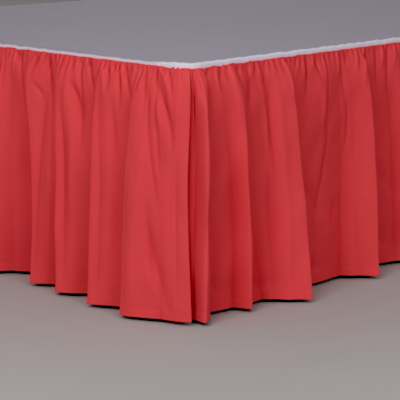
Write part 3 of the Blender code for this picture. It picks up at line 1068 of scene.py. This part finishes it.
def red_cotton():
    """Dyed cotton: plain weave with slubs, low sheen, and stitched hems."""
    finish = Finish("red_cloth", Specular_IOR_Level=0.15)
    along, up, _ = finish.on_cloth("cloth")
    edge, _, _ = finish.on_cloth("edges")
    weave = plain_weave(along, up, THREAD)
    weft = finish.noise((along * 26.0, up * 900.0), 2.0)
    warp = finish.noise((along * 900.0, up * 26.0, 4.0), 2.0)
    slubs = 0.5 * (weft + warp)
    cloudy = finish.noise((along, up, 2.0), 3.0, 9.0)
    run = (along / STITCH_LENGTH).math("FRACT")
    rise = (up / STITCH_LENGTH).math("FRACT")
    hem_stitches = up.near(HEM_WIDTH - 0.0012, 0.0006) * (run > STITCH_GAP)
    side_stitches = edge.near(SIDE_HEM_WIDTH - 0.0014, 0.0006) * (rise > STITCH_GAP)
    stitches = hem_stitches.math("MAXIMUM", side_stitches)
    tone = 0.55 * cloudy + 0.45 * slubs
    cloth = finish.mixed((tone - 0.5) * 1.6 + 0.5, (0.62, 0.068, 0.074), (0.76, 0.086, 0.093))
    cloth = finish.mixed(weave * 0.16, cloth, (0.82, 0.104, 0.112))
    # Painted shade: darker, deeper red where the cloth lies behind its neighbours; painted
    # highlight: paler where it stands out.
    shade_and_highlight = finish.marks("shade_and_highlight")
    cloth = finish.mixed(shade_and_highlight * 190.0, cloth, (0.44, 0.030, 0.034))
    cloth = finish.mixed(shade_and_highlight * -30.0, cloth, (0.80, 0.106, 0.114))
    below = DROP - up
    # Painted highlights and shade: lighter and darker streaks down from the seam, as of fine
    # gathers, with their relief in the bump too.
    near_seam = (1.0 - below / SEAM_STREAKS).math("MAXIMUM", 0.0)
    streaks = finish.noise((along * 330.0, up * 30.0, 7.0), 1.0)
    streaks = (streaks - 0.5) * near_seam
    cloth = finish.mixed(streaks * 2.2, cloth, (0.86, 0.140, 0.150))
    cloth = finish.mixed(streaks * -3.0, cloth, (0.42, 0.026, 0.030))
    cloth = finish.mixed((below < 0.0022) * 0.7, cloth, (0.80, 0.040, 0.046))
    # Painted highlight: the cloth is lighter towards its lower edge.
    hem_highlight = (1.0 - up / HEM_HIGHLIGHT).math("MAXIMUM", 0.0)
    cloth = finish.mixed(hem_highlight * 0.5, cloth, (0.98, 0.090, 0.098))
    finish.surface(
        Base_Color=finish.mixed(stitches * 0.4, cloth, (0.80, 0.06, 0.07)),
        Roughness=0.64 + 0.16 * slubs,
    )
    finish.bump(weave * 0.45 + slubs * 0.9 + stitches * 1.2 + streaks * 6.0, 0.00022, 0.45)
    return finish.material


def white_deck_cloth():
    """Thin white cotton: lit white where it turns over the edge, with painted shade, greyer, over
    the base.
    """
    finish = Finish("white_cloth", Specular_IOR_Level=0.25)
    x, y, height = finish.place()
    across, beyond, _ = finish.on_cloth("cloth")
    weave = plain_weave(across, beyond, 0.0006)
    cloudy = finish.noise((x, y, height * 4.0), 4.0, 14.0)
    # Painted shade: over the base the same white cloth is coloured grey; only the band has its lit
    # white.
    middle = 1.0 - finish.marks("band")
    band = finish.mixed(cloudy, (0.57, 0.540, 0.63), (0.70, 0.655, 0.75))
    top = finish.mixed(cloudy, (0.255, 0.222, 0.273), (0.298, 0.262, 0.316))
    cloth = finish.mixed(middle, band, top)
    stitches = (height - (DECK_TOP - FLAT_BAND + 0.0020)).math("ABSOLUTE") < 0.00035
    stitches = stitches * (((x + y) / 0.0030).math("FRACT") > 0.3)
    finish.surface(
        Base_Color=finish.mixed(weave * 0.12 + stitches * 0.5, cloth, (0.80, 0.78, 0.84)),
        Roughness=0.74 + 0.12 * cloudy,
    )
    finish.bump(weave * 0.5 + stitches + 0.8 * cloudy, 0.00022, 0.4)
    return finish.material


def ticking():
    """Off-white woven ticking with a fine raised twill line."""
    finish = Finish("ticking", Specular_IOR_Level=0.3)
    x, y, height = finish.place()
    around = x + y
    twill = (around + height).wave(0.0016) * 0.5 + 0.5
    stripe = around.wave(0.024) * 0.5 + 0.5
    cloudy = finish.clouds(18.0, 4.0)
    fibres = finish.noise((around * 60.0, height * 900.0), 2.0)
    cloth = finish.mixed(cloudy, (0.53, 0.50, 0.45), (0.64, 0.61, 0.56))
    cloth = finish.mixed(
        (stripe - 0.86) * 5.0, cloth, finish.mixed(fibres, (0.42, 0.41, 0.40), cloth)
    )
    finish.surface(Base_Color=cloth, Roughness=0.78 + 0.12 * fibres)
    finish.bump(twill * 0.6 + fibres * 0.6, 0.0003, 0.5)
    return finish.material


def under_cloth():
    """The thin dark cloth under the base, of fibres pressed in dots and not woven."""
    finish = Finish("under_cloth", Specular_IOR_Level=0.2)
    x, y, _ = finish.place()
    dots = x.wave(0.0030) * y.wave(0.0030)
    fibres = finish.clouds(420.0, 4.0, 0.7)
    cloudy = finish.clouds(22.0, 3.0)
    shade = 0.6 * fibres + 0.4 * cloudy
    finish.surface(
        Base_Color=finish.mixed(shade, (0.055, 0.055, 0.060), (0.12, 0.12, 0.125)),
        Roughness=0.80 + 0.15 * fibres,
    )
    finish.bump(fibres - dots * 0.5, 0.0003, 0.5)
    return finish.material


def turned_beech():
    """Pale beech with its grain upright, short flecks and a thin satin varnish."""
    finish = Finish("leg_wood", Coat_Weight=0.25, Coat_Roughness=0.30)
    x, y, height = finish.place()
    bent = finish.noise((x * 9.0, y * 9.0, height * 1.5), 3.0)
    rings = (x * 0.9 + y * 0.5 + bent * 0.05).wave(0.0075)
    grain = finish.noise((x * 700.0, y * 700.0, height * 16.0), 3.0)
    flecks = finish.noise((x * 420.0, y * 420.0, height * 90.0), 1.0)
    flecks = ((flecks - 0.62) * 9.0).math("MAXIMUM", 0.0).math("MINIMUM", 1.0)
    shade = 0.5 + 0.22 * rings + 0.5 * (grain - 0.5)
    wood = finish.mixed(shade, (0.36, 0.22, 0.115), (0.54, 0.36, 0.21))
    finish.surface(
        Base_Color=finish.mixed(flecks * 0.55, wood, (0.24, 0.13, 0.06)),
        Roughness=0.42 + 0.16 * grain,
    )
    finish.bump(grain * 0.6 - flecks * 0.5, 0.0003, 0.35)
    return finish.material


def glide_plastic():
    finish = Finish("glide_plastic")
    scuffs = finish.clouds(260.0, 3.0)
    finish.surface(
        Base_Color=finish.mixed(scuffs, (0.10, 0.10, 0.10), (0.19, 0.185, 0.18)),
        Roughness=0.40 + 0.25 * scuffs,
    )
    finish.bump(scuffs, 0.0002, 0.3)
    return finish.material


def pale_floor():
    finish = Finish("pale_floor", Roughness=0.75)
    cloudy = finish.clouds(2.5, 3.0)
    finish.surface(Base_Color=finish.mixed(cloudy, (0.40, 0.39, 0.385), (0.42, 0.41, 0.405)))
    return finish.material


# ---- view, light and the whole


LENS = 127.35
SENSOR_WIDTH = 36.0
AZIMUTH = 44.0
ELEVATION = 12.5
# From the foot of the near corner to the camera.
STANDPOINT = (1.43309, -1.45897, 0.633)


def camera():
    """A view of the near corner of the foot end, from a little above."""
    data = bpy.data.cameras.new("view")
    data.sensor_width = SENSOR_WIDTH
    data.lens = LENS
    view = linked("view", data)
    azimuth, elevation = math.radians(AZIMUTH), math.radians(ELEVATION)
    level = math.cos(elevation)
    back = Vector((math.sin(azimuth) * level, -math.cos(azimuth) * level, math.sin(elevation)))
    right = Vector((math.cos(azimuth), math.sin(azimuth), 0.0))
    turned = Matrix((right, back.cross(right), back)).transposed().to_4x4()
    turned.translation = Vector((BED_WIDTH / 2.0, FOOT_LINE, 0.0)) + Vector(STANDPOINT)
    view.matrix_world = turned
    bpy.context.scene.camera = view


def soft_light(name, place, target, size, power):
    data = bpy.data.lights.new(name, "AREA")
    data.size = size
    data.energy = power
    light = linked(name, data)
    light.location = place
    light.rotation_euler = (target - place).to_track_quat("-Z", "Y").to_euler()


FLOOR_SIZE = 30.0
SURROUNDING_LIGHT = 0.39
BLACK_LEVEL = 0.025


def studio():
    """A pale floor, three soft lights, an even light all round, and the view's black level."""
    bpy.ops.mesh.primitive_plane_add(size=FLOOR_SIZE)
    named("floor", pale_floor())
    corner = Vector((BED_WIDTH / 2.0, FOOT_LINE, 0.2))
    soft_light("key", corner + Vector((0.45, -1.69, 1.55)), corner, 1.2, 23.7)
    soft_light("fill", corner + Vector((2.1, -0.57, 1.50)), corner, 1.25, 17.0)
    soft_light("back", Vector((-2.6, 2.2, 2.3)), Vector((-0.4, 0.3, 0.1)), 2.6, 34.0)
    world = bpy.data.worlds.new("studio")
    bpy.context.scene.world = world
    world.use_nodes = True
    background = world.node_tree.nodes["Background"]
    background.inputs["Color"].default_value = (1.0, 1.0, 1.0, 1.0)
    background.inputs["Strength"].default_value = SURROUNDING_LIGHT
    settings = bpy.context.scene.view_settings
    settings.view_transform = "Standard"
    settings.use_curve_mapping = True
    settings.curve_mapping.black_level = (BLACK_LEVEL,) * 3
    settings.curve_mapping.update()


def main():
    bpy.ops.object.select_all(action="DESELECT")
    for side, piece in drops(red_cotton()).items():
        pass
    deck_cloth(white_deck_cloth())
    tick = ticking()
    box_spring_cover(tick, under_cloth())
    piping(tick)
    legs(turned_beech(), glide_plastic())
    camera()
    studio()


main()
